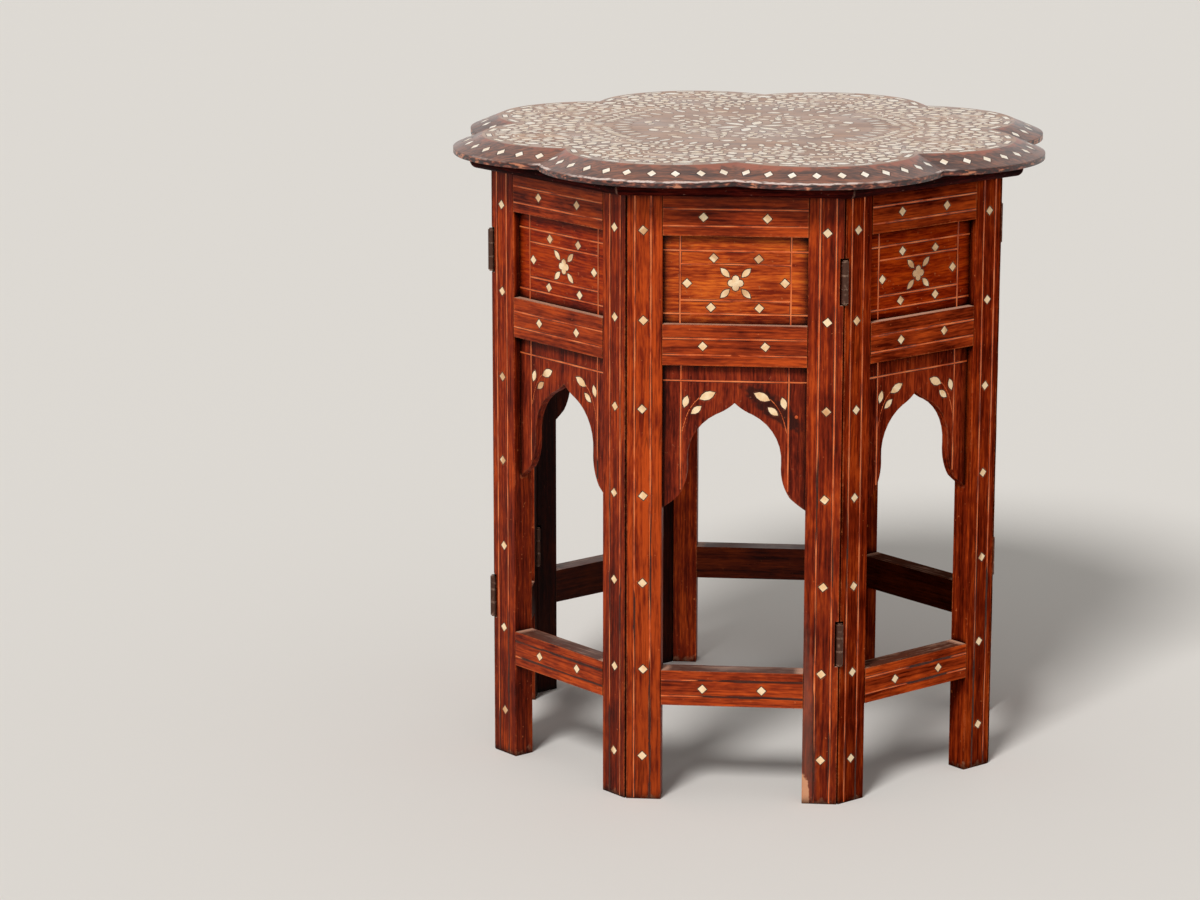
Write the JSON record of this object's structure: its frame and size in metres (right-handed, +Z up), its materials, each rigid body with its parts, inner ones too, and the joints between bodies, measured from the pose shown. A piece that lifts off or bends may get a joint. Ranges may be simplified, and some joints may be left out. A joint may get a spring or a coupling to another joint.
{
  "type": "inlaid table",
  "caption": "Low octagonal table with a scalloped inlaid top resting on a folding stand of hinged frames with ogee arches, bone diamonds and sprigs.",
  "frame": {"origin": "on the floor, under the middle of the scalloped top", "axes": "+Z up; the front frame faces -Y, +X is to the right seen from the front"},
  "size_m": [0.4362, 0.4362, 0.4691],
  "materials": {
    "rosewood_upright": "old rosewood, grain upright, worn shellac polish",
    "rosewood_rail": "old rosewood, grain level, worn shellac polish",
    "rosewood_board": "old rosewood board, grain level, worn shellac polish",
    "top_wood": "dark rosewood, dry and rubbed at its edges",
    "moulding_wood": "dark rosewood, dull polish",
    "bone": "bone, cut and sanded flush, yellowed",
    "hinge_metal": "brass gone nearly black",
    "screw_metal": "dull old steel"
  },
  "bodies": {
    "frame_0": {"stiles_0": "rosewood_upright", "rails_0": "rosewood_rail", "field_board_0": "rosewood_board", "arch_board_0": "rosewood_board", "bone_inlay_0": "bone", "hinge_leaves_0": "hinge_metal", "hinge_pins_0": "hinge_metal"},
    "frame_1": {"stiles_1": "rosewood_upright", "rails_1": "rosewood_rail", "field_board_1": "rosewood_board", "arch_board_1": "rosewood_board", "bone_inlay_1": "bone", "hinge_leaves_1": "hinge_metal", "hinge_pins_1": "hinge_metal"},
    "frame_2": {"stiles_2": "rosewood_upright", "rails_2": "rosewood_rail", "field_board_2": "rosewood_board", "arch_board_2": "rosewood_board", "bone_inlay_2": "bone", "hinge_leaves_2": "hinge_metal", "hinge_pins_2": "hinge_metal"},
    "frame_3": {"stiles_3": "rosewood_upright", "rails_3": "rosewood_rail", "field_board_3": "rosewood_board", "arch_board_3": "rosewood_board", "bone_inlay_3": "bone", "hinge_leaves_3": "hinge_metal", "hinge_pins_3": "hinge_metal"},
    "frame_4": {"stiles_4": "rosewood_upright", "rails_4": "rosewood_rail", "field_board_4": "rosewood_board", "arch_board_4": "rosewood_board", "bone_inlay_4": "bone", "hinge_leaves_4": "hinge_metal", "hinge_pins_4": "hinge_metal"},
    "frame_5": {"stiles_5": "rosewood_upright", "rails_5": "rosewood_rail", "field_board_5": "rosewood_board", "arch_board_5": "rosewood_board", "bone_inlay_5": "bone", "hinge_leaves_5": "hinge_metal", "hinge_pins_5": "hinge_metal"},
    "frame_6": {"stiles_6": "rosewood_upright", "rails_6": "rosewood_rail", "field_board_6": "rosewood_board", "arch_board_6": "rosewood_board", "bone_inlay_6": "bone", "hinge_leaves_6": "hinge_metal", "hinge_pins_6": "hinge_metal"},
    "frame_7": {"stiles_7": "rosewood_upright", "rails_7": "rosewood_rail", "field_board_7": "rosewood_board", "arch_board_7": "rosewood_board", "bone_inlay_7": "bone", "hinge_leaves_7": "hinge_metal", "hinge_pins_7": "hinge_metal"},
    "top": {"top_board": "top_wood", "top_bone_inlay": "bone", "under_moulding": "moulding_wood", "moulding_screws": "screw_metal"}
  },
  "joints": [
    {"name": "fold", "type": "hinge", "parent": "frame_0", "child": "frame_1", "pos_m": [0.0775, -0.1871, 0.2535], "axis": [0, 0, -1], "range_deg": [0, 200]},
    {"name": "corner_12", "type": "hinge", "parent": "frame_1", "child": "frame_2", "pos_m": [0.1711, -0.07087, 0.2535], "axis": [0, 0, 1], "range_deg": [0, 120]},
    {"name": "corner_23", "type": "hinge", "parent": "frame_2", "child": "frame_3", "pos_m": [0.1871, 0.0775, 0.2535], "axis": [0, 0, -1], "range_deg": [0, 40]},
    {"name": "corner_34", "type": "hinge", "parent": "frame_3", "child": "frame_4", "pos_m": [0.07087, 0.1711, 0.2535], "axis": [0, 0, 1], "range_deg": [0, 120]},
    {"name": "corner_70", "type": "hinge", "parent": "frame_0", "child": "frame_7", "pos_m": [-0.07087, -0.1711, 0.2535], "axis": [0, 0, -1], "range_deg": [0, 120]},
    {"name": "corner_67", "type": "hinge", "parent": "frame_7", "child": "frame_6", "pos_m": [-0.1871, -0.0775, 0.2535], "axis": [0, 0, 1], "range_deg": [0, 40]},
    {"name": "corner_56", "type": "hinge", "parent": "frame_6", "child": "frame_5", "pos_m": [-0.1711, 0.07087, 0.2535], "axis": [0, 0, -1], "range_deg": [0, 120]},
    {"name": "top_lift", "type": "slide", "parent": "frame_0", "child": "top", "axis": [0, 0, 1], "range_m": [0, 0.12]}
  ],
  "couplings": [
    {"joint": "corner_12", "follows": "fold", "ratio": 0.6},
    {"joint": "corner_23", "follows": "fold", "ratio": 0.2},
    {"joint": "corner_34", "follows": "fold", "ratio": 0.6},
    {"joint": "corner_70", "follows": "fold", "ratio": 0.6},
    {"joint": "corner_67", "follows": "fold", "ratio": 0.2},
    {"joint": "corner_56", "follows": "fold", "ratio": 0.6}
  ]
}
